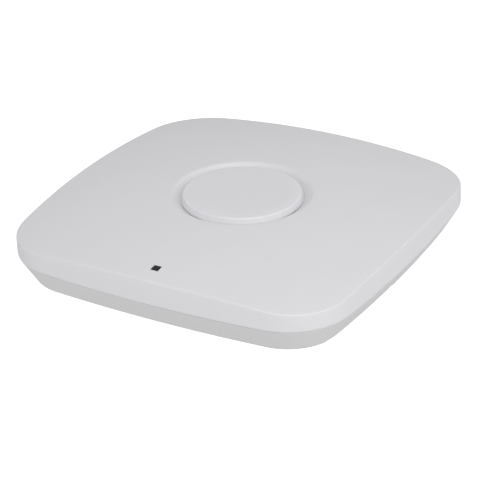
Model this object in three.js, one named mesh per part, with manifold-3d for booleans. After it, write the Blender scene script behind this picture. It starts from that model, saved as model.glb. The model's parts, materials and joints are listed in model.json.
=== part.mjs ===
// Ceiling access point for indoor Wi-Fi: a crowned plastic cover over a tapered lower shell, with a
// metal heat sink, the radio board and its antennas inside, a bay of sockets in the rear face, and a
// twist-lock bracket that screws to the ceiling. Millimetres, +Z out of the cover, and Z = 0 at the
// ceiling plane, in the middle of the housing. The sockets face +X and the status light is at -Y.
import * as THREE from "three";
import { mergeVertices } from "three/addons/utils/BufferGeometryUtils.js";
import Module from "manifold-3d";

const wasm = await Module();
wasm.setup();

// ---------------------------------------------------------------- driving dimensions

const GAP = 0.3; // clearance between neighbouring pieces
const WALL = 2.2; // moulded wall of the housing
const SHEET = 1.2; // thickness of folded sheet metal

// Housing outlines, each of four bowed sides with round corners: at the parting line, where the
// housing is widest, at the rear face, and the cover's rim carried up to the top of the crown.
const HALF_WIDTH = 105;
const PARTING = { half: HALF_WIDTH, side: 728, corner: 37.3 };
const REAR = { half: 95.5, side: 871, corner: 29.3 };
const RIM = { half: 103.9, side: 727, corner: 32.6 };
const PARTING_Z = 15.3;

const RIM_Z = 36.3; // height to which the rim's outline is given, above all of the crown

// Crown of the cover: a dome, a little flatter in the middle than a paraboloid. The rim cuts it, so
// the rim is lowest at the corners.
const CROWN_Z = 35.45;
const CROWN_DROP = 5.75; // fall to the middle of a side that grows with the radius squared
const CROWN_DROP_OUTER = 0.65; // the further fall there, which grows with its fourth power

// Round disc in the middle of the cover and the groove around it.
const DISC_RADIUS = 33.2;
const DISC_TOP_Z = 34.9;
const DISC_FOOT_RADIUS = 34.4;
const GROOVE_RADIUS = 40; // where the groove's slope leaves the crown
const LEDGE = { radius: 36.8, z: 32.5 }; // where the slope ends at the narrow trench beside the disc
const POCKET_RADIUS = 35.1;
const POCKET_Z = 30.6;

// Status light.
const LENS_SIZE = 4.4;
const LENS_Y = -92.2;

// Levels of the parts inside.
const FLOOR_Z = 2.2; // inner face of the lower shell's floor
const BOARD_Z = 8.2; // rear face of the main board
const BOARD_TOP = BOARD_Z + 1.6;
const BOARD_HALF = 84;
const BOARD_CHAMFER = 140; // the board's corners are cut where |x| + |y| reaches this

// Socket bay in the rear face, open to the ceiling, with a low relief in the housing's edge.
const BAY = { x0: 60.9, x1: 92, y0: -68, y1: -2, top: 22.6 };
const BAY_WALL = 1.6;
const RELIEF = { y0: -80, y1: -3, height: 1.8 };
// The relief rises in a curve to its +Y end. Each point is (distance from that end, height).
const RELIEF_END = [
  [0, 5.8],
  [2.5, 4.1],
  [5.5, 2.8],
  [9, RELIEF.height],
];
const PANEL_X = BAY.x0 - SHEET; // inner face of the socket panel
const SOCKET_FACE = BAY.x0 + 0.2;

// Heat sink and the round pan in it that takes the bracket.
const SINK_HALF = 78;
const SINK_CHAMFER = 130;
const SINK_BAY_X = 57.5; // the heat sink and the board stop here beside the bay
const SINK_BAY_Y = 2.5;
const SINK_Z = 2.5; // rear face of its plate
const SINK_PLATE = 2;
const SINK_FACE_Z = 0.4; // how far its ribs stay above the ceiling plane
const PAN_RADIUS = 50.3;
const PAN_WALL = 2.5;
const PAN_Z = 5.6; // ceiling of the pan
const PAN_PLATE = 1.6;

// Twist-lock bracket: tabs on the bracket turn in over hooks in the pan.
const BRACKET_RADIUS = 45.5;
const BRACKET_PLATE = 1.5;
const TAB_ANGLES = [45, 135, 225, 315];
const TAB_HALF_ANGLE = 10;
const TAB_Z = 3.4;
const TAB_RADIUS = 49.6;
const RISER_RADIUS = 43.6;
const HOOK_HALF_ANGLE = 12;
const HOOK_RADIUS = 46.8;
const HOOK_Z = 1.9;
const HOOK_THICKNESS = 1.1;
const TWIST = 25; // degrees from locked to free
const LOCK_WIDTH = 8;
const LOCK_NOTCH = 3.6; // depth of the rim notches that the lock slider enters
const LOCK_BACK = -69; // the slider's ends along Y, with the lock open
const LOCK_FRONT = -57;
const LOCK_NOSE = -46.3;
const SCREW_SLOT = { start: 24, end: 34, radius: 2 }; // ceiling screw slots in the bracket

// Fasteners.
const CASE_SCREW = 76; // x and y of the four housing screws
const BOARD_SCREWS = [
  [-62, -62],
  [-62, 62],
  [62, 62],
  [46, -72],
];

// ---------------------------------------------------------------- solids

const degrees = (angle) => (angle * Math.PI) / 180;

// A closed three.js geometry as a manifold solid.
function solid(geometry) {
  const bare = geometry.clone();
  bare.deleteAttribute("normal");
  bare.deleteAttribute("uv");
  const merged = mergeVertices(bare, 1e-4);
  return new wasm.Manifold(
    new wasm.Mesh({
      numProp: 3,
      vertProperties: merged.attributes.position.array,
      triVerts: new Uint32Array(merged.index.array),
    }),
  );
}

// A manifold solid as a three.js geometry.
function geometryOf(body) {
  const mesh = body.getMesh();
  const geometry = new THREE.BufferGeometry();
  geometry.setAttribute("position", new THREE.BufferAttribute(mesh.vertProperties, 3));
  geometry.setIndex(new THREE.BufferAttribute(mesh.triVerts, 1));
  geometry.computeVertexNormals();
  return geometry;
}

const join = (...bodies) => bodies.reduce((a, b) => a.add(b));
const cut = (body, ...tools) => tools.reduce((a, b) => a.subtract(b), body);

function box(x0, x1, y0, y1, z0, z1) {
  const geometry = new THREE.BoxGeometry(x1 - x0, y1 - y0, z1 - z0);
  geometry.translate((x0 + x1) / 2, (y0 + y1) / 2, (z0 + z1) / 2);
  return solid(geometry);
}

// A box from the middle of its base.
function block(x, y, z, width, depth, height) {
  return box(x - width / 2, x + width / 2, y - depth / 2, y + depth / 2, z, z + height);
}

function cylinder(x, y, z0, z1, radius, sides = 24) {
  const geometry = new THREE.CylinderGeometry(radius, radius, z1 - z0, sides);
  geometry.rotateX(Math.PI / 2);
  geometry.translate(x, y, (z0 + z1) / 2);
  return solid(geometry);
}

// A cylinder along X.
function barX(x0, x1, y, z, radius, sides = 20) {
  const geometry = new THREE.CylinderGeometry(radius, radius, x1 - x0, sides);
  geometry.rotateZ(Math.PI / 2);
  geometry.translate((x0 + x1) / 2, y, z);
  return solid(geometry);
}

function extrude(points, z0, z1) {
  const shape = new THREE.Shape(points.map(([x, y]) => new THREE.Vector2(x, y)));
  const geometry = new THREE.ExtrudeGeometry(shape, { depth: z1 - z0, bevelEnabled: false });
  geometry.translate(0, 0, z0);
  return solid(geometry);
}

// A solid from [y, z] points, extruded along X.
function extrudeX(points, x0, x1) {
  const shape = new THREE.Shape(points.map(([y, z]) => new THREE.Vector2(y, z)));
  const geometry = new THREE.ExtrudeGeometry(shape, { depth: x1 - x0, bevelEnabled: false });
  geometry.rotateX(Math.PI / 2);
  geometry.rotateZ(Math.PI / 2);
  geometry.translate(x0, 0, 0);
  return solid(geometry);
}

// A body of revolution about Z from [radius, z] points, which run from the axis round to the axis.
function turned(profile, sides = 64) {
  const geometry = new THREE.LatheGeometry(
    profile.map(([r, z]) => new THREE.Vector2(r, z)),
    sides,
  );
  geometry.rotateX(Math.PI / 2);
  const body = solid(geometry);
  return body.volume() > 0 ? body : solid(reversed(geometry));
}

function reversed(geometry) {
  const flipped = geometry.clone();
  const index = flipped.index.array;
  for (let i = 0; i < index.length; i += 3) {
    [index[i + 1], index[i + 2]] = [index[i + 2], index[i + 1]];
  }
  return flipped;
}

// A sector of a flat ring, centred on an angle in degrees.
function sector(r0, r1, angle, halfAngle, z0, z1) {
  const steps = 6;
  const points = [];
  for (let i = 0; i <= steps; i++) {
    const a = degrees(angle - halfAngle + (2 * halfAngle * i) / steps);
    points.push([r1 * Math.cos(a), r1 * Math.sin(a)]);
  }
  for (let i = steps; i >= 0; i--) {
    const a = degrees(angle - halfAngle + (2 * halfAngle * i) / steps);
    points.push([r0 * Math.cos(a), r0 * Math.sin(a)]);
  }
  return extrude(points, z0, z1);
}

// A housing outline, drawn in by an inset: bowed sides joined by tangent corner arcs.
const SIDE_STEPS = 6;
const CORNER_STEPS = 8;
function outline(shape, inset = 0) {
  const half = shape.half - inset;
  const side = shape.side - inset;
  const corner = shape.corner - inset;
  const back = side - half; // distance of a side arc's centre beyond the middle
  const centre = (-back + Math.sqrt(2 * (side - corner) ** 2 - back ** 2)) / 2;
  const sweep = Math.atan2(centre, centre + back);
  const points = [];
  for (let quarter = 0; quarter < 4; quarter++) {
    const turn = (quarter * Math.PI) / 2;
    const put = (x, y) =>
      points.push([
        x * Math.cos(turn) - y * Math.sin(turn),
        x * Math.sin(turn) + y * Math.cos(turn),
      ]);
    for (let i = 0; i < SIDE_STEPS; i++) {
      const a = -sweep + (2 * sweep * i) / SIDE_STEPS;
      put(-back + side * Math.cos(a), side * Math.sin(a));
    }
    for (let i = 0; i < CORNER_STEPS; i++) {
      const a = sweep + ((Math.PI / 2 - 2 * sweep) * i) / CORNER_STEPS;
      put(centre + corner * Math.cos(a), centre + corner * Math.sin(a));
    }
  }
  return points;
}

// A solid between two outlines with the same number of points, at two heights.
function tapered(lower, z0, upper, z1) {
  const count = lower.length;
  const position = [];
  for (const [x, y] of lower) position.push(x, y, z0);
  for (const [x, y] of upper) position.push(x, y, z1);
  const index = [];
  for (let i = 0; i < count; i++) {
    const j = (i + 1) % count;
    index.push(i, j, count + j, i, count + j, count + i);
  }
  const contour = lower.map(([x, y]) => new THREE.Vector2(x, y));
  for (const [a, b, c] of THREE.ShapeUtils.triangulateShape(contour, [])) {
    index.push(a, c, b, count + a, count + b, count + c);
  }
  const geometry = new THREE.BufferGeometry();
  geometry.setAttribute("position", new THREE.Float32BufferAttribute(position, 3));
  geometry.setIndex(index);
  return solid(geometry);
}

// Height of the crown's outer face at a distance from the middle.
function crown(radius) {
  const square = (radius / HALF_WIDTH) ** 2;
  return CROWN_Z - CROWN_DROP * square - CROWN_DROP_OUTER * square ** 2;
}

// Everything under the crown, lowered by an offset and with the pocket for the disc.
function underCrown(offset) {
  const reach = 150;
  const steps = 6;
  const aside = 0.75 * offset; // an inner corner lies diagonally from its outer one
  const profile = [
    [0, -1],
    [0, POCKET_Z - offset],
    [POCKET_RADIUS + aside, POCKET_Z - offset],
    [LEDGE.radius + aside, LEDGE.z - aside],
    [GROOVE_RADIUS + offset / 2, crown(GROOVE_RADIUS + offset / 2) - offset],
  ];
  for (let i = 1; i <= steps; i++) {
    const radius = GROOVE_RADIUS + ((reach - GROOVE_RADIUS) * i) / steps;
    profile.push([radius, crown(radius) - offset]);
  }
  profile.push([reach, -1], [0, -1]);
  return turned(profile, 48);
}

// A square with cut corners, less the corner that the socket bay takes.
function boardOutline(half, chamfer) {
  const short = chamfer - half;
  return [
    [-short, -half],
    [SINK_BAY_X, -half],
    [SINK_BAY_X, SINK_BAY_Y],
    [half, SINK_BAY_Y],
    [half, short],
    [short, half],
    [-short, half],
    [-half, short],
    [-half, -short],
  ];
}

// ---------------------------------------------------------------- scene

const root = new THREE.Group();

function finish(color, roughness, metalness = 0) {
  return new THREE.MeshStandardMaterial({ color, roughness, metalness });
}

const FINISH = {
  cover: finish(0xe6e6e7, 0.5),
  shell: finish(0xdededf, 0.55),
  lens: finish(0x141416, 0.2),
  clear: finish(0xcfd8dc, 0.15),
  aluminium: finish(0xa9abad, 0.45, 1),
  steel: finish(0xb9bbbd, 0.35, 1),
  tin: finish(0xc9cacb, 0.3, 1),
  board: finish(0x1f5b3a, 0.5),
  antennaBoard: finish(0x24452f, 0.5),
  chip: finish(0x17181a, 0.45),
  black: finish(0x1b1b1d, 0.55),
  rubber: finish(0x2a2a2c, 0.8),
  pad: finish(0x8f9aa6, 0.85),
  label: finish(0xd7d8d6, 0.6),
  copper: finish(0xc08a4b, 0.35, 1),
  screw: finish(0x8d8f92, 0.35, 1),
};

function add(name, body, material) {
  const mesh = new THREE.Mesh(geometryOf(body), material);
  mesh.name = name;
  root.add(mesh);
}

// ---------------------------------------------------------------- cover, disc and status light

const DISC_PINS = [90, 210, 330];
const DISC_PIN_RADIUS = 1.5;
const DISC_PIN_CIRCLE = 24;
const pinAt = (angle) => [
  DISC_PIN_CIRCLE * Math.cos(degrees(angle)),
  DISC_PIN_CIRCLE * Math.sin(degrees(angle)),
];
const CORNERS = [
  [-1, -1],
  [1, -1],
  [1, 1],
  [-1, 1],
];
const CASE_BOSS_Z = 10; // where the cover's screw bosses meet those of the lower shell

function topCover() {
  const outside = tapered(outline(PARTING), PARTING_Z, outline(RIM), RIM_Z);
  const inside = tapered(outline(PARTING, WALL), PARTING_Z - 1, outline(RIM, WALL), RIM_Z);
  let cover = outside.intersect(underCrown(0)).subtract(inside.intersect(underCrown(WALL)));
  for (const [sx, sy] of CORNERS) {
    const x = sx * CASE_SCREW;
    const y = sy * CASE_SCREW;
    const top = crown(Math.hypot(x, y)) - WALL / 2;
    cover = cover.add(cylinder(x, y, CASE_BOSS_Z, top, 4, 16));
    cover = cover.subtract(cylinder(x, y, CASE_BOSS_Z - 1, CASE_BOSS_Z + 11, 1.6, 12));
  }
  for (const angle of DISC_PINS) {
    const [x, y] = pinAt(angle);
    cover = cover.subtract(cylinder(x, y, POCKET_Z - 2 * WALL, POCKET_Z + 1, DISC_PIN_RADIUS + GAP, 12));
  }
  const hole = LENS_SIZE + 2 * GAP;
  return cover.subtract(block(0, LENS_Y, 20, hole, hole, 20));
}

function centreDisc() {
  const foot = POCKET_Z + GAP;
  const disc = turned([
    [0, foot],
    [DISC_FOOT_RADIUS, foot],
    [DISC_RADIUS + 0.6, DISC_TOP_Z - 0.8],
    [DISC_RADIUS + 0.3, DISC_TOP_Z - 0.2],
    [DISC_RADIUS - 0.2, DISC_TOP_Z],
    [0, DISC_TOP_Z],
  ]);
  const pins = DISC_PINS.map((angle) => {
    const [x, y] = pinAt(angle);
    return cylinder(x, y, POCKET_Z - WALL - 1.4, foot + 0.5, DISC_PIN_RADIUS, 12);
  });
  return join(disc, ...pins);
}

const LENS_BACK_Z = crown(Math.abs(LENS_Y)) - WALL;

function ledLens() {
  const face = LENS_SIZE / 2;
  const lens = box(-face, face, LENS_Y - face, LENS_Y + face, LENS_BACK_Z, CROWN_Z);
  return lens.intersect(underCrown(0));
}

// The light pipe's side profile, in Y and Z, extruded across X.
const LED_Y = -81;
function lightPipe() {
  const half = 1.6;
  const start = BOARD_TOP + 1.4;
  const end = LENS_BACK_Z - GAP;
  const profile = [
    [LED_Y - half, start],
    [LED_Y + half, start],
    [LED_Y + half, start + 9.5],
    [LENS_Y + half, end - 2.5],
    [LENS_Y + half, end],
    [LENS_Y - half, end],
    [LENS_Y - half, end - 4],
    [LED_Y - half, start + 7.5],
  ];
  return extrudeX(profile, -half, half);
}

add("top_cover", topCover(), FINISH.cover);
add("centre_disc", centreDisc(), FINISH.cover);
add("led_lens", ledLens(), FINISH.lens);
add("light_pipe", lightPipe(), FINISH.clear);
add("status_led", block(0, LED_Y, BOARD_TOP + GAP / 2, 1.6, 1.6, 0.8), FINISH.label);

// ---------------------------------------------------------------- lower shell

// Antenna boards stand on the floor inside each wall; the +X one sits beyond the bay.
const ANTENNA_BOARD = { width: 44, height: 11, thickness: 1, distance: 92, foot: 7.5 };
const ANTENNA_BOARD_PLACES = [
  { turn: 0, shift: 40 },
  { turn: 90, shift: 0 },
  { turn: 180, shift: -3 },
  { turn: 270, shift: -45 },
];

// Moves a body made beside the +X wall to one of the four walls.
function beside(place, body) {
  return body.translate([0, place.shift, 0]).rotate([0, 0, place.turn]);
}

// Two slotted posts that hold one antenna board.
function boardPosts() {
  const { width, thickness, distance, foot } = ANTENNA_BOARD;
  const slot = box(
    distance - thickness / 2 - GAP,
    distance + thickness / 2 + GAP,
    -width,
    width,
    foot - GAP,
    40,
  );
  const posts = [-1, 1].map((side) => {
    const y = side * (width / 2 - 4);
    return block(distance, y, FLOOR_Z - 0.2, 4.4, 4, foot + 3 - FLOOR_Z);
  });
  return join(...posts).subtract(slot);
}

// A moulded hook beside the -X edge of the heat sink's flange, with its lip over the flange.
function flangeHook(along) {
  const edge = -SINK_HALF - 0.4;
  const top = SINK_Z + SINK_PLATE + GAP;
  return join(
    box(edge - 2, edge, along - 4, along + 4, FLOOR_Z - 0.2, top + 1),
    box(edge - 1, edge + 1.8, along - 4, along + 4, top, top + 1),
  );
}
const FLANGE_HOOKS = [
  { turn: 0, along: -30 },
  { turn: 0, along: 30 },
  { turn: 90, along: -24 },
  { turn: 90, along: 24 },
  { turn: 180, along: -28 },
  { turn: 270, along: -24 },
  { turn: 270, along: 24 },
];

const LIP_WALL = 1.6; // of the lip that stands up inside the cover's rim
const LIP_HEIGHT = 2.4;
const VENT = { length: 12, width: 1.6, pitch: 4, count: 5, x: 36, y: -84 };
const LABEL = { x: 0, y: 86.2, width: 62, depth: 9, recess: 0.5 };
const LOCK_SLOT = { x: -86.5, y: 40, width: 3, length: 7 };

// The relief in the housing's edge beside the bay, seen from the side.
function relief() {
  const end = RELIEF_END.map(([back, z]) => [RELIEF.y1 - back, z]);
  const points = [[RELIEF.y0, -1], [RELIEF.y1, -1], ...end, [RELIEF.y0, RELIEF.height]];
  return extrudeX(points, BAY.x1 - 1, 120);
}

// Extra material between the bay and the taper, so that the relief's high end doesn't break through.
function reliefBacking() {
  const [[, high]] = RELIEF_END;
  return box(BAY.x1, 120, RELIEF.y1 - 12, RELIEF.y1 + BAY_WALL, 0.5, high + WALL);
}

function lowerShell() {
  const top = PARTING_Z - GAP;
  const lipInset = WALL + 1.5 * GAP; // more than the gap, because the cover's rim leans in
  const lipOutside = outline(PARTING, lipInset);
  const lipInside = outline(PARTING, lipInset + LIP_WALL);
  const outside = tapered(outline(REAR), 0, outline(PARTING, GAP), top);
  const cavity = tapered(outline(REAR, WALL), FLOOR_Z, lipInside, top + 3);
  const lip = cut(
    tapered(lipOutside, top - 1, lipOutside, top + LIP_HEIGHT),
    tapered(lipInside, 0, lipInside, top + 2 * LIP_HEIGHT),
  );
  let shell = join(cut(outside, cavity), lip);

  // The bay: a box open towards the ceiling, whose inner side is the socket panel.
  const outer = box(
    PANEL_X - GAP,
    BAY.x1 + BAY_WALL,
    BAY.y0 - BAY_WALL,
    BAY.y1 + BAY_WALL,
    0,
    BAY.top + BAY_WALL,
  );
  shell = shell.add(outer);
  shell = shell.subtract(box(PANEL_X - GAP - 1, BAY.x1, BAY.y0, BAY.y1, -1, BAY.top));
  shell = shell.add(reliefBacking().intersect(outside));
  shell = shell.subtract(relief());

  // The opening that the heat sink closes, with its flange lying on the floor around it.
  shell = shell.subtract(extrude(boardOutline(SINK_HALF - 4, SINK_CHAMFER - 8), -1, FLOOR_Z + 0.1));
  const bayBack = PANEL_X - GAP;
  shell = shell.subtract(box(50, bayBack, BAY.y0 - BAY_WALL - 1, SINK_BAY_Y - 4, -1, FLOOR_Z + 0.1));

  // Screw bosses with a counterbore from the rear.
  for (const [sx, sy] of CORNERS) {
    const x = sx * CASE_SCREW;
    const y = sy * CASE_SCREW;
    shell = shell.add(cylinder(x, y, 0.5, CASE_BOSS_Z - GAP, 5, 20));
    shell = shell.subtract(cylinder(x, y, -1, 3.2, 3.9, 20));
    shell = shell.subtract(cylinder(x, y, -1, CASE_BOSS_Z + 1, 1.9, 12));
  }
  for (const place of ANTENNA_BOARD_PLACES) shell = shell.add(beside(place, boardPosts()));
  for (const { turn, along } of FLANGE_HOOKS) {
    shell = shell.add(flangeHook(along).rotate([0, 0, turn]));
  }

  // Ventilation slots, a shallow seat for the rating label and a slot for a cable lock.
  for (const side of [-1, 1]) {
    for (let i = 0; i < VENT.count; i++) {
      const x = side * (VENT.x + i * VENT.pitch);
      shell = shell.subtract(block(x, VENT.y, -1, VENT.width, VENT.length, FLOOR_Z + 2));
    }
  }
  shell = shell.subtract(block(LABEL.x, LABEL.y, -1, LABEL.width, LABEL.depth, 1 + LABEL.recess));
  return shell.subtract(
    block(LOCK_SLOT.x, LOCK_SLOT.y, -1, LOCK_SLOT.width, LOCK_SLOT.length, FLOOR_Z + 2),
  );
}

add("lower_shell", lowerShell(), FINISH.shell);
add(
  "rating_label",
  block(LABEL.x, LABEL.y, 0.1, LABEL.width - 1, LABEL.depth - 1, 0.15),
  FINISH.label,
);
add(
  "lock_slot_plate",
  cut(
    block(LOCK_SLOT.x, LOCK_SLOT.y, FLOOR_Z + GAP, 9, 13, SHEET),
    block(LOCK_SLOT.x, LOCK_SLOT.y, FLOOR_Z, LOCK_SLOT.width, LOCK_SLOT.length, 4),
  ),
  FINISH.steel,
);

// ---------------------------------------------------------------- heat sink

const RIB = { width: 1.4, pitch: 6 };
const LOCK_CHANNEL = LOCK_WIDTH + 2; // half-width of the clear channel around the lock slider

// Ribs that run along X behind the plate, clear of the pan and of the lock slider.
function heatSinkRibs() {
  const half = SINK_HALF - 4.6;
  const ribs = [];
  for (let y = -66; y <= 66; y += RIB.pitch) {
    ribs.push(box(-half, half, y - RIB.width / 2, y + RIB.width / 2, SINK_FACE_Z, SINK_Z + 0.2));
  }
  const inside = extrude(boardOutline(half, SINK_CHAMFER - 9), 0, 10);
  const clear = cylinder(0, 0, -1, 10, PAN_RADIUS + 1, 64);
  const channel = box(-LOCK_CHANNEL, LOCK_CHANNEL, -90, 0, -1, 10);
  const bayStrip = box(52, 90, -90, 3, -1, 10);
  return cut(join(...ribs).intersect(inside), clear, channel, bayStrip);
}

// The hooks that hold the bracket's tabs, each with a stop at its locked end.
function hooks() {
  const reach = PAN_RADIUS + 0.5;
  return join(
    ...TAB_ANGLES.map((angle) =>
      join(
        sector(HOOK_RADIUS, reach, angle, HOOK_HALF_ANGLE, HOOK_Z, HOOK_Z + HOOK_THICKNESS),
        sector(HOOK_RADIUS, reach, angle - HOOK_HALF_ANGLE, 1, HOOK_Z, PAN_Z + 0.5),
      ),
    ),
  );
}

// Two guides with lips that hold the lock slider against the plate.
const LIP_THICKNESS = 0.45;
function sliderGuides() {
  const inner = LOCK_WIDTH / 2 + GAP;
  const guides = [-1, 1].map((side) => {
    const wall = box(inner, inner + 1.6, LOCK_BACK - 3, LOCK_FRONT + 1, SINK_FACE_Z, SINK_Z + 0.2);
    const lip = box(
      inner - 1.3,
      inner + 0.2,
      LOCK_BACK - 3,
      LOCK_FRONT + 1,
      SINK_FACE_Z,
      SINK_FACE_Z + LIP_THICKNESS,
    );
    const guide = wall.add(lip);
    return side > 0 ? guide : guide.mirror([1, 0, 0]);
  });
  return join(...guides);
}

function heatSink() {
  const plateTop = SINK_Z + SINK_PLATE;
  const panTop = PAN_Z + PAN_PLATE;
  const plate = extrude(boardOutline(SINK_HALF, SINK_CHAMFER), SINK_Z, plateTop);
  const frameOut = extrude(boardOutline(SINK_HALF - 4.4, SINK_CHAMFER - 8.8), SINK_FACE_Z, SINK_Z + 0.2);
  const frameIn = extrude(boardOutline(SINK_HALF - 6.4, SINK_CHAMFER - 12.8), -1, SINK_Z + 1);
  const bayEdge = box(53, 90, -90, 3, -1, SINK_Z + 1);
  const frame = cut(frameOut, frameIn, bayEdge);
  const panWall = cylinder(0, 0, SINK_FACE_Z, panTop, PAN_RADIUS + PAN_WALL, 64);
  let sink = join(plate, frame, heatSinkRibs(), panWall);
  sink = sink.subtract(cylinder(0, 0, -1, PAN_Z, PAN_RADIUS, 64));
  sink = sink.add(hooks());
  for (const [x, y] of BOARD_SCREWS) {
    sink = sink.add(cylinder(x, y, plateTop - 0.5, BOARD_Z - GAP, 3.2, 16));
    sink = sink.subtract(cylinder(x, y, SINK_Z + 1, BOARD_Z + 1, 1.55, 12));
  }
  const noseSlot = LOCK_WIDTH / 2 - 0.7;
  sink = sink.subtract(box(-noseSlot, noseSlot, -56, -44, -1, SINK_Z));
  return sink.add(sliderGuides());
}

add("heat_sink", heatSink(), FINISH.aluminium);
add("thermal_pad", block(0, 0, PAN_Z + PAN_PLATE + 0.25, 44, 44, 0.5), FINISH.pad);

// ---------------------------------------------------------------- ceiling bracket and its lock

// A slot with round ends along X, between two distances from the middle.
function slot(start, end, radius) {
  return join(
    cylinder(start, 0, -1, 3, radius, 12),
    cylinder(end, 0, -1, 3, radius, 12),
    box(start, end, -radius, radius, -1, 3),
  );
}

function bracket() {
  let plate = cylinder(0, 0, 0, BRACKET_PLATE, BRACKET_RADIUS, 72);
  for (const angle of TAB_ANGLES) {
    const riser = sector(RISER_RADIUS, RISER_RADIUS + 1.4, angle, TAB_HALF_ANGLE, 1, TAB_Z + 1.4);
    const tab = sector(RISER_RADIUS, TAB_RADIUS, angle, TAB_HALF_ANGLE, TAB_Z, TAB_Z + 1.4);
    plate = join(plate, riser, tab);
  }
  plate = plate.subtract(cylinder(0, 0, -1, 3, 9.5, 32));
  for (const angle of [0, 90, 180, 270]) {
    const radial = slot(SCREW_SLOT.start, SCREW_SLOT.end, SCREW_SLOT.radius).rotate([0, 0, angle]);
    const hole = cylinder(26, 0, -1, 3, 2.2, 12).rotate([0, 0, angle + 45]);
    plate = cut(plate, radial, hole);
  }
  for (const angle of [-90, -90 - TWIST]) {
    const notch = block(BRACKET_RADIUS, 0, -1, 2 * LOCK_NOTCH, LOCK_WIDTH - 1.4, 4);
    plate = plate.subtract(notch.rotate([0, 0, angle]));
  }
  return plate;
}

// A flat slide with a nose that enters a notch in the bracket's rim, and a ridge for the finger.
function lockSlider() {
  const z0 = SINK_FACE_Z + LIP_THICKNESS + GAP;
  const z1 = SINK_Z - GAP;
  const half = LOCK_WIDTH / 2;
  const nose = half - 1.1;
  const ridges = [3, 6.5].map((y) =>
    box(-half + 1.8, half - 1.8, LOCK_BACK + y, LOCK_BACK + y + 1.6, SINK_FACE_Z, z1),
  );
  return join(
    box(-half, half, LOCK_BACK, LOCK_FRONT, z0, z1),
    box(-nose, nose, LOCK_FRONT - 1, LOCK_NOSE, z0, z1),
    ...ridges,
  );
}

add("ceiling_bracket", bracket(), FINISH.steel);
add("lock_slider", lockSlider(), FINISH.black);

// ---------------------------------------------------------------- main board and what it carries

function mainBoard() {
  let board = extrude(boardOutline(BOARD_HALF, BOARD_CHAMFER), BOARD_Z, BOARD_TOP);
  for (const [x, y] of BOARD_SCREWS) board = board.subtract(cylinder(x, y, 5, 12, 1.7, 12));
  return board;
}

const ON_BOARD = BOARD_TOP + GAP / 2;

// A shield can with its rim of solder tabs.
function shieldCan(x, y, width, depth, height) {
  const can = block(x, y, ON_BOARD, width, depth, height);
  const inside = block(x, y, ON_BOARD - 1, width - 0.8, depth - 0.8, height + 0.6);
  const holes = [];
  for (const i of [-1, 0, 1]) {
    for (const j of [-1, 0, 1]) {
      holes.push(cylinder(x + (i * width) / 4, y + (j * depth) / 4, ON_BOARD + 1, 20, 0.9, 6));
    }
  }
  return cut(can, inside, ...holes);
}

// A small finned heat sink for the processor.
function processorSink(x, y, z) {
  const size = 30;
  const fins = [];
  for (let i = 0; i < 7; i++) {
    fins.push(block(x - size / 2 + 1 + (i * (size - 2)) / 6, y, z + 1.5, 1.4, size, 6));
  }
  return join(block(x, y, z, size, size, 1.8), ...fins);
}

// An inverted-F antenna folded from sheet: a top plate on a feed leg and an earth leg.
function foldedAntenna() {
  const z = ON_BOARD;
  const height = 10;
  const blade = box(-11, 11, -4, 4, z + height - 0.8, z + height);
  const feed = box(-7, -5.2, -4, -3.2, z, z + height);
  const earth = box(-11, -9.2, -4, -3.2, z, z + height);
  return cut(join(blade, feed, earth), box(-3, 9, -1, 0.2, z + 5, z + 12));
}

const CHIP = { x: -6, y: -6, size: 24 };
add("main_board", mainBoard(), FINISH.board);
add("processor_chip", block(CHIP.x, CHIP.y, ON_BOARD, CHIP.size, CHIP.size, 1.6), FINISH.chip);
add("processor_heat_sink", processorSink(CHIP.x, CHIP.y, ON_BOARD + 1.6 + GAP), FINISH.aluminium);

const SHIELDS = [
  [-52, -18, 38, 34],
  [-52, 24, 38, 34],
  [-6, 46, 38, 34],
];
SHIELDS.forEach(([x, y, width, depth], i) => {
  add("radio_shield_" + (i + 1), shieldCan(x, y, width, depth, 4), FINISH.tin);
});

const FOLDED_ANTENNAS = [
  { turn: 90, x: -78, y: -36 },
  { turn: 90, x: -78, y: 36 },
  { turn: 0, x: -30, y: 78 },
  { turn: 0, x: 34, y: 78 },
];
FOLDED_ANTENNAS.forEach(({ turn, x, y }, i) => {
  const body = foldedAntenna().rotate([0, 0, turn]).translate([x, y, 0]);
  add("folded_antenna_" + (i + 1), body, FINISH.copper);
});

ANTENNA_BOARD_PLACES.forEach((place, i) => {
  const { width, height, thickness, distance, foot } = ANTENNA_BOARD;
  const body = block(distance, 0, foot, thickness, width, height);
  add("antenna_board_" + (i + 1), beside(place, body), FINISH.antennaBoard);
});

// Coaxial leads from sockets on the main board over its edge to the antenna boards.
const LEAD_RADIUS = 0.75;
const LEAD_HEIGHT = BOARD_TOP + 1.4;
const LEAD_SWAY = 0.03; // how far a lead wanders from a straight line, as a share of its length
function coaxLead(start, end) {
  const inner = new THREE.Vector3(start[0], start[1], LEAD_HEIGHT);
  const outer = new THREE.Vector3(end[0], end[1], LEAD_HEIGHT + 1);
  const side = new THREE.Vector3(outer.y - inner.y, inner.x - outer.x, 0).multiplyScalar(LEAD_SWAY);
  const route = new THREE.CatmullRomCurve3([
    inner,
    inner.clone().lerp(outer, 0.35).add(side),
    inner.clone().lerp(outer, 0.7).sub(side),
    outer,
  ]);
  const section = new THREE.Shape();
  section.absarc(0, 0, LEAD_RADIUS, 0, 2 * Math.PI);
  const tube = solid(
    new THREE.ExtrudeGeometry(section, {
      steps: 12,
      extrudePath: route,
      curveSegments: 4,
      bevelEnabled: false,
    }),
  );
  return tube.add(cylinder(inner.x, inner.y, ON_BOARD, LEAD_HEIGHT + 0.6, 1.5, 12));
}

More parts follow.
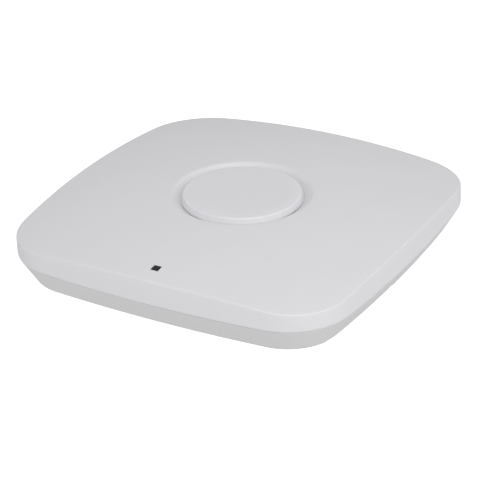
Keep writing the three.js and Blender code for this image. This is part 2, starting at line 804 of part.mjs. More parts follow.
const LEAD_ENDS = [
  { start: [24, 34], place: 0 },
  { start: [22, 56], place: 1 },
  { start: [-26, 3], place: 2 },
  { start: [-40, -50], place: 3 },
];
LEAD_ENDS.forEach(({ start, place }, i) => {
  const { turn, shift } = ANTENNA_BOARD_PLACES[place];
  const face = new THREE.Vector3(ANTENNA_BOARD.distance - 2.2, shift, 0);
  face.applyAxisAngle(new THREE.Vector3(0, 0, 1), degrees(turn));
  add("coax_lead_" + (i + 1), coaxLead(start, [face.x, face.y]), FINISH.black);
});

add("poe_transformer", block(26, -66, ON_BOARD, 15, 13, 9.5), FINISH.chip);
add("ethernet_magnetics_1", block(30, -46, ON_BOARD, 14, 12, 5.6), FINISH.chip);
add("ethernet_magnetics_2", block(30, -30, ON_BOARD, 14, 12, 5.6), FINISH.chip);
[
  [8, -68],
  [8, -57],
  [-3, -68],
].forEach(([x, y], i) => {
  add("capacitor_" + (i + 1), cylinder(x, y, ON_BOARD, ON_BOARD + 10, 4, 20), FINISH.aluminium);
});

// ---------------------------------------------------------------- sockets and their panel

const JACK = { width: 15.9, depth: 17.8, height: 12.4, y: [-59.2, -42] };
const JACK_MOUTH = { width: 11.8, z0: 12, z1: 19, keyWidth: 6.2, keyTop: 20.8, depth: 13.5 };
const USB = { y: -25.2, width: 14.4, height: 7, depth: 16, wall: 0.7, tongue: 1.9 };
const DC = { y: -12.2, width: 9, height: 10.8, depth: 13.6, mouth: 3, pin: 1 };
const RESET = { y: -4.7, z: 13, radius: 1.5, face: 60.2, length: 3, travel: 0.8 };
const SOCKET_CLEARANCE = 0.35;

// A socket's outer block, standing on the board with its face in the panel.
function socketBody(y, width, depth, height) {
  const half = width / 2;
  return box(SOCKET_FACE - depth, SOCKET_FACE, y - half, y + half, ON_BOARD, ON_BOARD + height);
}

function jack(y) {
  const { width, depth, height } = JACK;
  const body = socketBody(y, width, depth, height);
  const mouth = JACK_MOUTH;
  const back = SOCKET_FACE - mouth.depth;
  return cut(
    body,
    box(back, SOCKET_FACE + 1, y - mouth.width / 2, y + mouth.width / 2, mouth.z0, mouth.z1),
    box(back, SOCKET_FACE + 1, y - mouth.keyWidth / 2, y + mouth.keyWidth / 2, mouth.z0, mouth.keyTop),
  );
}

function usbPort() {
  const { y, width, height, depth, wall, tongue } = USB;
  const front = SOCKET_FACE;
  const bottom = ON_BOARD;
  const shell = box(front - depth, front, y - width / 2, y + width / 2, bottom, bottom + height);
  const cavity = box(
    front - depth + 2,
    front + 1,
    y - width / 2 + wall,
    y + width / 2 - wall,
    bottom + wall,
    bottom + height - wall,
  );
  const blade = box(
    front - depth + 1,
    front - 2,
    y - 5.6,
    y + 5.6,
    bottom + height - wall - 0.9 - tongue,
    bottom + height - wall - 0.9,
  );
  return join(cut(shell, cavity), blade);
}

// A rubber plug under the port's tongue, with a flange over its mouth and a ridge to pull.
function usbCap() {
  const { y, wall } = USB;
  const flange = SOCKET_FACE + GAP;
  const bottom = ON_BOARD + wall + GAP;
  return join(
    box(flange - 9, flange + 0.2, y - 5.8, y + 5.8, bottom, bottom + 1.9),
    box(flange, flange + 1.6, y - 7.8, y + 7.8, ON_BOARD - 0.6, ON_BOARD + 7.6),
    box(flange + 1.5, flange + 3.6, y - 4, y + 4, ON_BOARD + 2.6, ON_BOARD + 4.4),
  );
}

function dcJack() {
  const { y, width, height, depth, mouth, pin } = DC;
  const z = ON_BOARD + height / 2 + 0.4;
  const body = socketBody(y, width, depth, height);
  const well = barX(SOCKET_FACE - 10, SOCKET_FACE + 1, y, z, mouth);
  return join(cut(body, well), barX(SOCKET_FACE - 11, SOCKET_FACE - 1, y, z, pin, 12));
}

function socketPanel() {
  const c = SOCKET_CLEARANCE;
  const window = (y, width, height) => {
    const reach = width / 2 + c;
    return box(PANEL_X - 1, BAY.x0 + 1, y - reach, y + reach, ON_BOARD - c, ON_BOARD + height + c);
  };
  const panel = box(PANEL_X, BAY.x0, BAY.y0 + GAP, BAY.y1 - GAP, 0.6, BAY.top - GAP);
  return cut(
    panel,
    ...JACK.y.map((y) => window(y, JACK.width, JACK.height)),
    window(USB.y, USB.width, USB.height),
    window(DC.y, DC.width, DC.height),
    barX(PANEL_X - 1, BAY.x0 + 1, RESET.y, RESET.z, RESET.radius + 0.4),
  );
}

add("socket_panel", socketPanel(), FINISH.steel);
add("network_jack_1", jack(JACK.y[0]), FINISH.tin);
add("network_jack_2", jack(JACK.y[1]), FINISH.tin);
add("usb_port", usbPort(), FINISH.tin);
add("usb_port_cap", usbCap(), FINISH.rubber);
add("power_jack", dcJack(), FINISH.black);

const resetBack = RESET.face - RESET.length;
add(
  "reset_button",
  join(
    barX(resetBack, RESET.face, RESET.y, RESET.z, RESET.radius, 16),
    barX(resetBack, resetBack + 0.9, RESET.y, RESET.z, RESET.radius + 0.7, 16),
  ),
  FINISH.black,
);
add(
  "reset_switch",
  block(resetBack - RESET.travel - 0.3 - 2, RESET.y, ON_BOARD, 4, 5, 5.4),
  FINISH.chip,
);

// ---------------------------------------------------------------- fasteners

// A pan-head screw pointing up, with a six-sided recess in its head.
function screw(x, y, z, headRadius, headHeight, shankRadius, length) {
  const body = turned(
    [
      [0, z],
      [headRadius - 0.5, z],
      [headRadius, z + 0.6],
      [headRadius, z + headHeight],
      [shankRadius, z + headHeight],
      [shankRadius, z + length - 1],
      [shankRadius * 0.5, z + length],
      [0, z + length],
    ],
    12,
  );
  const recess = cylinder(0, 0, z - 1, z + headHeight * 0.6, headRadius * 0.45, 6);
  return cut(body, recess).translate([x, y, 0]);
}

CORNERS.forEach(([sx, sy], i) => {
  const body = screw(sx * CASE_SCREW, sy * CASE_SCREW, 0.7, 3.4, 2.2, 1.3, 17);
  add("case_screw_" + (i + 1), body, FINISH.screw);
});

BOARD_SCREWS.forEach(([x, y], i) => {
  const length = 6;
  const body = screw(0, 0, 0, 2.7, 1.6, 1.2, length)
    .rotate([180, 0, 0])
    .translate([x, y, BOARD_TOP + GAP + 1.6]);
  add("board_screw_" + (i + 1), body, FINISH.screw);
});

export default root;
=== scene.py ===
"""Looks of a ceiling access point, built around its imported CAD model.

The moulded shells, the disc and the lens are made here as fine meshes that stand for the faceted CAD
solids. The metal, board and socket nodes keep their CAD shape and get softened edges and materials.
Shapes are worked out in millimetres and turned into metres when a mesh is made.
"""

import json
import math

import bmesh
import bpy
import numpy as np
from mathutils import Matrix, Vector


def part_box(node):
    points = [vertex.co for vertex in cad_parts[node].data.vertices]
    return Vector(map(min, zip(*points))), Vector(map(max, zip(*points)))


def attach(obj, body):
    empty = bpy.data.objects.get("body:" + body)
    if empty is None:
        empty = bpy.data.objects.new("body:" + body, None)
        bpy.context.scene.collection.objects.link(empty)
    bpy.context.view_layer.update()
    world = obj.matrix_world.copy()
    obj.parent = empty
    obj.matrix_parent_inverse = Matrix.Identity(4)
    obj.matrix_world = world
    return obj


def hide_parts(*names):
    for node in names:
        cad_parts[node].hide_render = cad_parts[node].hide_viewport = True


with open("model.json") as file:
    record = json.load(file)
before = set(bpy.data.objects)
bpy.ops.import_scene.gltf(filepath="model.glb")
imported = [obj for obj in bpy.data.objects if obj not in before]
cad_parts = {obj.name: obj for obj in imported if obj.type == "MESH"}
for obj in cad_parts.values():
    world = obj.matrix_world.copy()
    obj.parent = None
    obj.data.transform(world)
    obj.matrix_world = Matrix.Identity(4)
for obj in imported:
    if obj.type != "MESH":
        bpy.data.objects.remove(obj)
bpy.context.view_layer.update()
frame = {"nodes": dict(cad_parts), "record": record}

MM = 0.001

# ---------------------------------------------------------------- driving dimensions, in millimetres

# Housing outlines as (half width, radius of the bowed sides, radius of the corners).
HALF_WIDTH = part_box("top_cover")[1].x / MM
PARTING = (HALF_WIDTH, 728.0, 37.3)
REAR = (95.5, 871.0, 29.3)
RIM = (103.9, 727.0, 32.6)  # the cover's rim, carried up to RIM_Z
RIM_Z = 36.3
PARTING_Z = 15.3
CROWN_Z = 35.45
CROWN_DROP = 5.75  # from the middle to the middle of a side, growing with the radius squared
CROWN_DROP_OUTER = 0.65  # the same, growing with its fourth power
WALL = 2.2
SEAM = 0.3  # gap between the cover's rim and the lower shell
EDGE_REACH = 1.2  # how far the rounding of the parting edge runs up the rim and down the taper
EDGE_RADIUS = 3.9
RIM_FILLET = 0.62
REAR_FILLET = 1.0

DISC_RADIUS = 33.2
DISC_TOP_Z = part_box("centre_disc")[1].z / MM
DISC_FOOT_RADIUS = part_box("centre_disc")[1].x / MM
DISC_FILLET = 0.6
POCKET_RADIUS = 35.1
POCKET_Z = 30.6
LEDGE_RADIUS = 36.8  # where the groove's slope ends at the narrow trench beside the disc
LEDGE_Z = 32.5
GROOVE_RADIUS = 40.0

LENS_HALF = 2.35  # half the side of the square hole for the status light
LENS_GAP = 0.12
LENS_Y = -92.2

# ---------------------------------------------------------------- materials

BASE = {entry["slot"]: entry["base_color"] for entry in frame["record"]["materials"]}
TO_MM = 1 / MM
NOISE_SPAN = (0.3, 0.7)  # the range that most of a noise's values lie in


def shaded(colour, factor):
    """A colour made lighter or darker, as RGBA."""
    return (*(min(1.0, channel * factor) for channel in colour), 1.0)


def place_in_mm(tree, stretch):
    """The place on the object in millimetres, divided by a stretch along each axis."""
    coordinates = tree.nodes.new("ShaderNodeTexCoord")
    mapping = tree.nodes.new("ShaderNodeMapping")
    mapping.inputs["Scale"].default_value = tuple(TO_MM / s for s in stretch)
    tree.links.new(coordinates.outputs["Object"], mapping.inputs["Vector"])
    return mapping.outputs["Vector"]


def noise(tree, size, detail=3.0, stretch=(1, 1, 1)):
    """A noise whose features are about this size in millimetres."""
    node = tree.nodes.new("ShaderNodeTexNoise")
    node.inputs["Scale"].default_value = 1 / size
    node.inputs["Detail"].default_value = detail
    tree.links.new(place_in_mm(tree, stretch), node.inputs["Vector"])
    return node.outputs["Fac"]


def cells(tree, size):
    """A node of cells about scattered points, this far apart in millimetres."""
    node = tree.nodes.new("ShaderNodeTexVoronoi")
    node.inputs["Scale"].default_value = 1 / size
    tree.links.new(place_in_mm(tree, (1, 1, 1)), node.inputs["Vector"])
    return node


def remap(tree, value, start, end, low=0.0, high=1.0):
    """A value between start and end as one between low and high, held at the ends."""
    node = tree.nodes.new("ShaderNodeMapRange")
    node.inputs["From Min"].default_value = start
    node.inputs["From Max"].default_value = end
    node.inputs["To Min"].default_value = low
    node.inputs["To Max"].default_value = high
    tree.links.new(value, node.inputs["Value"])
    return node.outputs["Result"]


def varied(tree, size, detail, low=0.0, high=1.0):
    """A noise that swings between low and high."""
    return remap(tree, noise(tree, size, detail), *NOISE_SPAN, low, high)


def maths(tree, operation, first, second):
    """Two values, or a value and a number, taken together."""
    node = tree.nodes.new("ShaderNodeMath")
    node.operation = operation
    for socket, value in zip(node.inputs, (first, second)):
        if isinstance(value, (int, float)):
            socket.default_value = value
        else:
            tree.links.new(value, socket)
    return node.outputs["Value"]


def mix(tree, factor, first, second):
    """A colour between two, each a colour or a socket."""
    node = tree.nodes.new("ShaderNodeMix")
    node.data_type = "RGBA"
    tree.links.new(factor, node.inputs["Factor"])
    for socket, value in ((node.inputs[6], first), (node.inputs[7], second)):
        if isinstance(value, tuple):
            socket.default_value = value
        else:
            tree.links.new(value, socket)
    return node.outputs[2]


def toned(tree, factor, colour, low, high):
    """A colour that goes from low to high times its brightness."""
    return mix(tree, factor, shaded(colour, low), shaded(colour, high))


def edge_wear_and_highlight_mask(tree, softness):
    """1 along outward edges and 0 on flat faces: edge wear, and along the disc's fillet a painted
    highlight.

    More softness asks for a sharper edge and fades in more slowly.
    """
    geometry = tree.nodes.new("ShaderNodeNewGeometry")
    patchy = varied(tree, 2.2, 3.0, -0.2 * softness, 0.2 * softness)
    edge = maths(tree, "ADD", geometry.outputs["Pointiness"], patchy)
    return remap(tree, edge, 0.5 + 0.4 * softness, 0.5 + 1.6 * softness)


def relief(tree, shader, layers):
    """Bumps the surface by (height, depth in millimetres) layers, one on another."""
    normal = None
    for height, depth in layers:
        node = tree.nodes.new("ShaderNodeBump")
        node.inputs["Strength"].default_value = 1.0
        node.inputs["Distance"].default_value = depth * MM
        tree.links.new(height, node.inputs["Height"])
        if normal:
            tree.links.new(normal, node.inputs["Normal"])
        normal = node.outputs["Normal"]
    tree.links.new(normal, shader.inputs["Normal"])


def new_look(slot):
    """(material, its node tree, its shader, the slot's base colour)"""
    material = bpy.data.materials.new(slot + "_look")
    material.use_nodes = True
    tree = material.node_tree
    return material, tree, tree.nodes["Principled BSDF"], BASE[slot]


def moulded(slot, rough, grain, depth, mottle=0.012, specular=0.5, edge=1.03, sheen=0.0, wear_and_highlight_softness=0.08):
    """Moulded plastic or rubber: spark-eroded grain, slow waves of the surface, lightened edges, which
    are rubbed wear on most parts and a painted highlight on the disc's fillet.
    """
    material, tree, shader, colour = new_look(slot)
    shader.inputs["Specular IOR Level"].default_value = specular
    shader.inputs["Sheen Weight"].default_value = sheen
    speck = remap(tree, noise(tree, 1.1, 2.0), 0.35, 0.65)
    slow = toned(tree, varied(tree, 17.0, 4.0), colour, 1 - mottle, 1 + mottle)
    fine = mix(tree, speck, slow, shaded(colour, 1.0))
    edge_wear_and_highlight = edge_wear_and_highlight_mask(tree, wear_and_highlight_softness)
    # Edges lightened by the edge factor: rubbed wear on most parts, a painted highlight along the
    # disc's fillet.
    tree.links.new(mix(tree, edge_wear_and_highlight, fine, shaded(colour, edge)), shader.inputs["Base Color"])
    blotch = varied(tree, 6.0, 5.0, rough - 0.04, rough + 0.04)
    rubbed = maths(tree, "MULTIPLY", edge_wear_and_highlight, -0.1)
    tree.links.new(maths(tree, "ADD", blotch, rubbed), shader.inputs["Roughness"])
    relief(tree, shader, [(noise(tree, grain, 2.5), depth), (noise(tree, 16.0, 1.0), 0.02)])
    return material


def metal(slot, rough, grain, depth, stretch=(1, 1, 1), mottle=0.06, spangle=0.0, bright=1.25):
    """Sheet or cast metal: grain or rolling marks, mottled tone, edges rubbed bright."""
    material, tree, shader, colour = new_look(slot)
    shader.inputs["Metallic"].default_value = 1.0
    marks = noise(tree, grain, 5.0, stretch)
    plain = toned(tree, varied(tree, 5.0, 4.0), colour, 1 - mottle, 1 + mottle)
    if spangle:
        flakes = cells(tree, 3.0).outputs["Color"]
        plain = mix(tree, remap(tree, flakes, 0.0, 1.0), plain, shaded(colour, 1 - spangle))
    rubbed = mix(tree, edge_wear_and_highlight_mask(tree, 0.13), plain, shaded(colour, bright))
    tree.links.new(rubbed, shader.inputs["Base Color"])
    base_rough = remap(tree, marks, 0.25, 0.75, rough - 0.09, rough + 0.09)
    patches = varied(tree, 9.0, 3.0, -0.05, 0.05)
    tree.links.new(maths(tree, "ADD", base_rough, patches), shader.inputs["Roughness"])
    relief(tree, shader, [(marks, depth)])
    return material


def circuit_board(slot, pitch):
    """Solder mask over tracks, with tinned points scattered between them."""
    material, tree, shader, colour = new_look(slot)
    shader.inputs["Coat Weight"].default_value = 0.3
    tracks = tree.nodes.new("ShaderNodeTexBrick")
    tracks.inputs["Scale"].default_value = 1 / pitch
    tracks.inputs["Mortar Size"].default_value = 0.035
    tracks.inputs["Mortar Smooth"].default_value = 0.4
    tracks.inputs["Brick Width"].default_value = 2.6
    tracks.inputs["Row Height"].default_value = 0.25
    tree.links.new(place_in_mm(tree, (1, 1, 1)), tracks.inputs["Vector"])
    line = remap(tree, tracks.outputs["Fac"], 0.2, 0.8)
    broken = remap(tree, noise(tree, 9.0, 1.0), 0.44, 0.5)
    line = maths(tree, "MULTIPLY", line, broken)
    mask = toned(tree, line, colour, 0.85, 1.7)
    points = cells(tree, 2.7).outputs["Distance"]
    dot = remap(tree, points, 0.1, 0.12, 1.0, 0.0)
    tinned = (0.62, 0.62, 0.6, 1.0)
    tree.links.new(mix(tree, dot, mask, tinned), shader.inputs["Base Color"])
    tree.links.new(dot, shader.inputs["Metallic"])
    weave = noise(tree, 0.5, 2.0)
    tree.links.new(remap(tree, weave, *NOISE_SPAN, 0.26, 0.42), shader.inputs["Roughness"])
    relief(tree, shader, [(line, 0.03), (dot, 0.02), (weave, 0.006)])
    return material


def film(slot):
    """Matt film with short fibres, a cloudy tone and lighter edges."""
    material, tree, shader, colour = new_look(slot)
    fibres = noise(tree, 0.35, 4.0, (5, 1, 1))
    paper = toned(tree, varied(tree, 2.5, 5.0), colour, 0.965, 1.03)
    rubbed = mix(tree, edge_wear_and_highlight_mask(tree, 0.03), paper, shaded(colour, 1.1))
    tree.links.new(rubbed, shader.inputs["Base Color"])
    tree.links.new(remap(tree, fibres, *NOISE_SPAN, 0.5, 0.66), shader.inputs["Roughness"])
    relief(tree, shader, [(fibres, 0.006)])
    return material


def clear(slot):
    """Clear moulded plastic with faint flow lines."""
    material, tree, shader, colour = new_look(slot)
    shader.inputs["Transmission Weight"].default_value = 1.0
    shader.inputs["IOR"].default_value = 1.49
    flow = noise(tree, 1.2, 3.0, (1, 4, 1))
    tint = toned(tree, remap(tree, flow, *NOISE_SPAN), colour, 0.97, 1.03)
    tree.links.new(tint, shader.inputs["Base Color"])
    tree.links.new(remap(tree, flow, *NOISE_SPAN, 0.06, 0.16), shader.inputs["Roughness"])
    relief(tree, shader, [(flow, 0.01)])
    return material


LOOKS = {
    "cover_white": moulded("cover_white", 0.42, 0.3, 0.006, edge=1.0),
    # For the disc: its fillet edge lightened by 6 per cent, a painted highlight in place of light
    # caught by the rounded edge.
    "cover_white_painted_highlight": moulded("cover_white", 0.42, 0.3, 0.006, edge=1.06, wear_and_highlight_softness=0.012),
    "shell_white": moulded("shell_white", 0.46, 0.42, 0.012, mottle=0.015),
    "lens_black": moulded("lens_black", 0.13, 0.5, 0.001, mottle=0.1, specular=0.2, edge=1.4),
    "clear_plastic": clear("clear_plastic"),
    "cast_aluminium": metal("cast_aluminium", 0.47, 0.55, 0.035),
    "zinc_steel": metal("zinc_steel", 0.33, 0.5, 0.006, (1, 14, 1), spangle=0.1),
    "tinned_steel": metal("tinned_steel", 0.3, 0.4, 0.004, (12, 1, 1), mottle=0.04),
    "board_green": circuit_board("board_green", 4.4),
    "antenna_board": circuit_board("antenna_board", 9.0),
    "chip_black": moulded("chip_black", 0.52, 0.22, 0.012, mottle=0.12, edge=1.5),
    "black_plastic": moulded("black_plastic", 0.42, 0.26, 0.01, mottle=0.1, edge=1.7),
    "led_white": moulded("led_white", 0.28, 0.3, 0.004, mottle=0.03),
    "rubber_grey": moulded("rubber_grey", 0.68, 0.3, 0.018, mottle=0.1, edge=1.5, sheen=0.08),
    "thermal_grey": moulded("thermal_grey", 0.72, 0.6, 0.03, mottle=0.06),
    "label_paper": film("label_paper"),
    "copper_sheet": metal("copper_sheet", 0.32, 0.45, 0.005, (1, 1, 9), mottle=0.1),
    "lead_black": moulded("lead_black", 0.4, 0.5, 0.012, mottle=0.1, edge=1.4),
    "capacitor_can": metal("capacitor_can", 0.3, 0.4, 0.004, (1, 1, 10), mottle=0.05),
    "screw_steel": metal("screw_steel", 0.27, 0.22, 0.004, mottle=0.08),
}

# ---------------------------------------------------------------- meshes


def face_outwards(mesh):
    work = bmesh.new()
    work.from_mesh(mesh)
    bmesh.ops.recalc_face_normals(work, faces=work.faces)
    work.to_mesh(mesh)
    work.free()


def shade_smooth(mesh, angle):
    """Smooth shading, with edges over this angle in degrees kept sharp."""
    for polygon in mesh.polygons:
        polygon.use_smooth = True
    mesh.set_sharp_from_angle(angle=math.radians(angle))


def new_piece(name, vertices, faces, angle=35):
    """A mesh object from points in millimetres."""
    mesh = bpy.data.meshes.new(name)
    mesh.from_pydata([tuple(float(c) * MM for c in v) for v in vertices], [], faces)
    mesh.validate()
    face_outwards(mesh)
    shade_smooth(mesh, angle)
    piece = bpy.data.objects.new(name, mesh)
    bpy.context.scene.collection.objects.link(piece)
    return piece


def settle(piece, body, slot, *nodes):
    """Fixes a piece to its body, gives its material slot and hides the CAD nodes it stands for."""
    piece.data.materials.clear()
    piece.data.materials.append(LOOKS[slot])
    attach(piece, body)
    if nodes:
        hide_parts(*nodes)


def close_rings(rings):
    """Vertices and faces of a closed skin over rings of equal length, capped by a point at each end."""
    count = len(rings[0])
    vertices = [p for ring in rings for p in ring]
    faces = []
    for j in range(len(rings) - 1):
        for i in range(count):
            k = (i + 1) % count
            faces.append((j * count + i, j * count + k, (j + 1) * count + k, (j + 1) * count + i))
    first = len(vertices)
    vertices.append(np.mean(rings[0], axis=0))
    vertices.append(np.mean(rings[-1], axis=0))
    last_row = (len(rings) - 1) * count
    for i in range(count):
        k = (i + 1) % count
        faces.append((k, i, first))
        faces.append((last_row + i, last_row + k, first + 1))
    return vertices, faces


# ---------------------------------------------------------------- outlines and the crown

SIDE_STEPS = 24
CORNER_STEPS = 22
QUARTER = SIDE_STEPS + 1 + CORNER_STEPS  # points in a side and a corner
SPOKES = 4 * QUARTER


def outline(shape, inset=0.0):
    """Points of a housing outline, anticlockwise from the +X side, two of them a lens's width apart."""
    half, side, corner = (value - inset for value in shape)
    back = side - half
    centre = (-back + math.sqrt(2 * (side - corner) ** 2 - back**2)) / 2
    sweep = math.atan2(centre, centre + back)
    reach = side * math.sin(sweep)
    marks = [reach * (2 * i / SIDE_STEPS - 1) for i in range(SIDE_STEPS)]
    middle = SIDE_STEPS // 2
    marks[middle : middle + 1] = [-LENS_HALF, LENS_HALF]
    quarter = [(math.sqrt(side**2 - y**2) - back, y) for y in marks]
    for i in range(CORNER_STEPS):
        angle = sweep + (math.pi / 2 - 2 * sweep) * i / CORNER_STEPS
        quarter.append((centre + corner * math.cos(angle), centre + corner * math.sin(angle)))
    return turned_four_ways(quarter)


def turned_four_ways(quarter):
    """A quarter's points, and the same turned by 90, 180 and 270 degrees."""
    points = np.array(quarter)
    turns = [points]
    for _ in range(3):
        points = np.column_stack((-points[:, 1], points[:, 0]))
        turns.append(points)
    return np.concatenate(turns)


def circle(radius):
    """A circle with one point on each spoke. Outside the disc its lens spokes keep the lens's width."""
    spokes = outline(PARTING)
    angles = np.arctan2(spokes[:, 1], spokes[:, 0])
    if radius > DISC_RADIUS:
        tilt = math.asin(LENS_HALF / radius)
        for side in range(4):
            first = side * QUARTER + SIDE_STEPS // 2
            angles[first] = side * math.pi / 2 - tilt
            angles[first + 1] = side * math.pi / 2 + tilt
    return np.column_stack((radius * np.cos(angles), radius * np.sin(angles)))


def crown(xy):
    """Height of the cover's outer face over each point."""
    square = (xy[:, 0] ** 2 + xy[:, 1] ** 2) / HALF_WIDTH**2
    return CROWN_Z - CROWN_DROP * square - CROWN_DROP_OUTER * square**2


def level(xy, z):
    """A ring of points at one height, or at a height for each."""
    return np.column_stack((xy, np.broadcast_to(z, len(xy))))


def rim_at(z, inset=0.0):
    """The cover's rim outline at a height for each spoke."""
    share = ((z - PARTING_Z) / (RIM_Z - PARTING_Z))[:, None]
    return (1 - share) * outline(PARTING, inset) + share * outline(RIM, inset)


def crown_edge(inset, drop):
    """Where the crown, lowered by a drop, meets the rim drawn in by an inset."""
    z = np.full(SPOKES, CROWN_Z)
    for _ in range(8):
        xy = rim_at(z, inset)
        z = crown(xy) - drop
    return xy, z


def edge_inset(distance):
    """How far the rounded parting edge falls back at a height above or below it."""
    return (EDGE_REACH - distance) ** 2 / (2 * EDGE_RADIUS)


def quarter_arc(steps):
    """(inset, drop) shares of a fillet from flat to upright."""
    angles = [math.pi / 2 * i / steps for i in range(steps + 1)]
    return [(1 - math.sin(a), 1 - math.cos(a)) for a in angles]


# ---------------------------------------------------------------- cover

CROWN_START = 41.6  # radius at which the rounded edge of the groove runs into the crown
CROWN_SHARES = [0.06, 0.14, 0.24, 0.35, 0.46, 0.57, 0.67]  # rings between the groove and the lens
EDGE_SHARES = [0.92, 0.97]  # rings beyond the lens
POCKET_RINGS = (12.0, 24.0, DISC_RADIUS - 1.0)
# Steps (out, up) from the foot of the trench's wall, and from the ledge at its top.
TRENCH_FOOT = ((-0.35, 0.0), (-0.1, 0.1), (0.15, 0.35))
TRENCH_TOP = ((-0.25, -0.3), (0.1, 0.05))
# Steps (out from the groove's edge, down from the crown) where the slope ends, and over the edge.
SLOPE_END = (-0.8, 0.55)
SLOPE_SHARES = (0.2, 0.45, 0.72, 1.0)
GROOVE_EDGE = ((-0.35, 0.27), (0.1, 0.11), (0.8, 0.025))
ASIDE = 0.75  # how far out the groove moves on the cover's inner face, in wall thicknesses
# Steps (up from the parting, further in) over the rounded lower edge of the rim.
RIM_EDGE = ((0.85, 0.0), (0.55, 0.0), (0.3, 0.0), (0.1, 0.02), (0.0, 0.12))


def crown_rings(edge, drop):
    """Rings over the crown from the groove to its edge, with a pair that bounds the lens's hole."""
    start = circle(CROWN_START)
    near = math.sqrt(CROWN_START**2 - LENS_HALF**2)
    far = -edge[:, 1].min()
    hole = [(-LENS_Y + side * LENS_HALF - near) / (far - near) for side in (-1, 1)]
    shares = [*CROWN_SHARES, *hole, *EDGE_SHARES]
    rings = []
    for share in shares:
        xy = (1 - share) * start + share * edge
        rings.append(level(xy, crown(xy) - drop))
    return rings, len(CROWN_SHARES)


def groove_rings(drop):
    """Rings from the pocket's floor up the trench and the slope, and over the groove's edge."""
    floor = POCKET_Z - drop
    aside = ASIDE * drop
    ledge_radius, ledge_z = LEDGE_RADIUS + aside, LEDGE_Z - aside
    profile = [(radius, floor) for radius in POCKET_RINGS]
    profile += [(POCKET_RADIUS + aside + out, floor + up) for out, up in TRENCH_FOOT]
    profile += [(ledge_radius + out, ledge_z + up) for out, up in TRENCH_TOP]
    slope_radius = GROOVE_RADIUS + SLOPE_END[0]
    slope_z = crown(circle(GROOVE_RADIUS))[0] - drop - SLOPE_END[1]
    for share in SLOPE_SHARES:
        radius = ledge_radius + share * (slope_radius - ledge_radius)
        profile.append((radius, ledge_z + share * (slope_z - ledge_z)))
    rings = [level(circle(radius), z) for radius, z in profile]
    for out, below in (*GROOVE_EDGE, (CROWN_START - GROOVE_RADIUS, 0.0)):
        xy = circle(GROOVE_RADIUS + out)
        rings.append(level(xy, crown(xy) - drop - below))
    return rings


def cover_rings():
    """All rings of the cover: out over its face, down the rim, and back inside."""
    rings = groove_rings(0.0)
    edge, _ = crown_edge(RIM_FILLET, 0.0)
    over, hole = crown_rings(edge, 0.0)
    hole_outside = len(rings) + hole
    rings += over
    for inset, drop in quarter_arc(5):
        xy, z = crown_edge(RIM_FILLET * inset, RIM_FILLET * drop)
        rings.append(level(xy, z))
    top = rings[-1][:, 2]
    foot = PARTING_Z + EDGE_REACH
    for share in (0.25, 0.5, 0.75, 1.0):
        z = (1 - share) * top + share * foot
        rings.append(level(rim_at(z), z))
    for height, more in RIM_EDGE:
        z = np.full(SPOKES, PARTING_Z + height)
        rings.append(level(rim_at(z, edge_inset(height) + more), z))
    rings.append(level(outline(PARTING, WALL), PARTING_Z))
    inner_edge, inner_z = crown_edge(WALL, WALL)
    for share in (0.5, 1.0):
        z = (1 - share) * PARTING_Z + share * (inner_z - 0.5)
        rings.append(level(rim_at(z, WALL), z))
    under, hole = crown_rings(inner_edge, WALL)
    under.reverse()
    hole_inside = len(rings) + len(under) - 2 - hole
    rings += under
    rings += groove_rings(WALL)[::-1]
    return rings, hole_outside, hole_inside


def make_cover():
    rings, hole_outside, hole_inside = cover_rings()
    vertices, faces = close_rings(rings)
    left = 3 * QUARTER + SIDE_STEPS // 2
    right = left + 1
    openings = []
    for row in (hole_outside, hole_inside):
        a, b = row * SPOKES, (row + 1) * SPOKES
        openings.append((a + left, a + right, b + right, b + left))
    faces = [f for f in faces if f not in openings]
    outside, inside = openings
    inside = (inside[3], inside[2], inside[1], inside[0])
    for i in range(4):
        k = (i + 1) % 4
        faces.append((outside[k], outside[i], inside[i], inside[k]))
    cover = new_piece("cover", vertices, faces, 40)
    settle(cover, "housing", "cover_white", "top_cover")


# ---------------------------------------------------------------- disc and lens

DISC_SIDE = DISC_RADIUS + 0.4  # radius of the wall just under its fillet
DISC_FOOT_CHAMFER = 0.2
DISC_STEPS = 192
LENS_CORNER = 0.3
LENS_FILLET = 0.2
LENS_SINK = 0.05  # how far the lens's face lies under the crown
LENS_STEP = 3.0  # how far below its half height the lens's second ring lies


def lathe(profile, steps):
    """Rings of a body of revolution about Z from (radius, z) points, without its ends on the axis."""
    angles = [2 * math.pi * i / steps for i in range(steps)]
    return [np.array([(r * math.cos(a), r * math.sin(a), z) for a in angles]) for r, z in profile]


def make_disc():
    foot = POCKET_Z + SEAM
    wall_top = DISC_TOP_Z - DISC_FILLET
    inner, outer, _ = POCKET_RINGS
    profile = [(inner, foot), (DISC_FOOT_RADIUS - DISC_FOOT_CHAMFER, foot)]
    profile.append((DISC_FOOT_RADIUS, foot + DISC_FOOT_CHAMFER))
    profile.append(((DISC_SIDE + DISC_FOOT_RADIUS) / 2, (foot + wall_top) / 2))
    for inset, drop in reversed(quarter_arc(6)):
        profile.append((DISC_SIDE - DISC_FILLET * inset, DISC_TOP_Z - DISC_FILLET * drop))
    profile += [(outer, DISC_TOP_Z), (inner, DISC_TOP_Z)]
    disc = new_piece("disc", *close_rings(lathe(profile, DISC_STEPS)), 40)
    settle(disc, "housing", "cover_white", "centre_disc")
    # The disc takes the look with a painted highlight along its fillet edge.
    disc.data.materials[0] = LOOKS["cover_white_painted_highlight"]


def rounded_square(half, radius, steps=5):
    """A rounded square about the origin, anticlockwise."""
    centre = half - radius
    quarter = []
    for i in range(steps + 1):
        angle = math.pi / 2 * i / steps
        quarter.append((centre + radius * math.cos(angle), centre + radius * math.sin(angle)))
    return turned_four_ways(quarter)


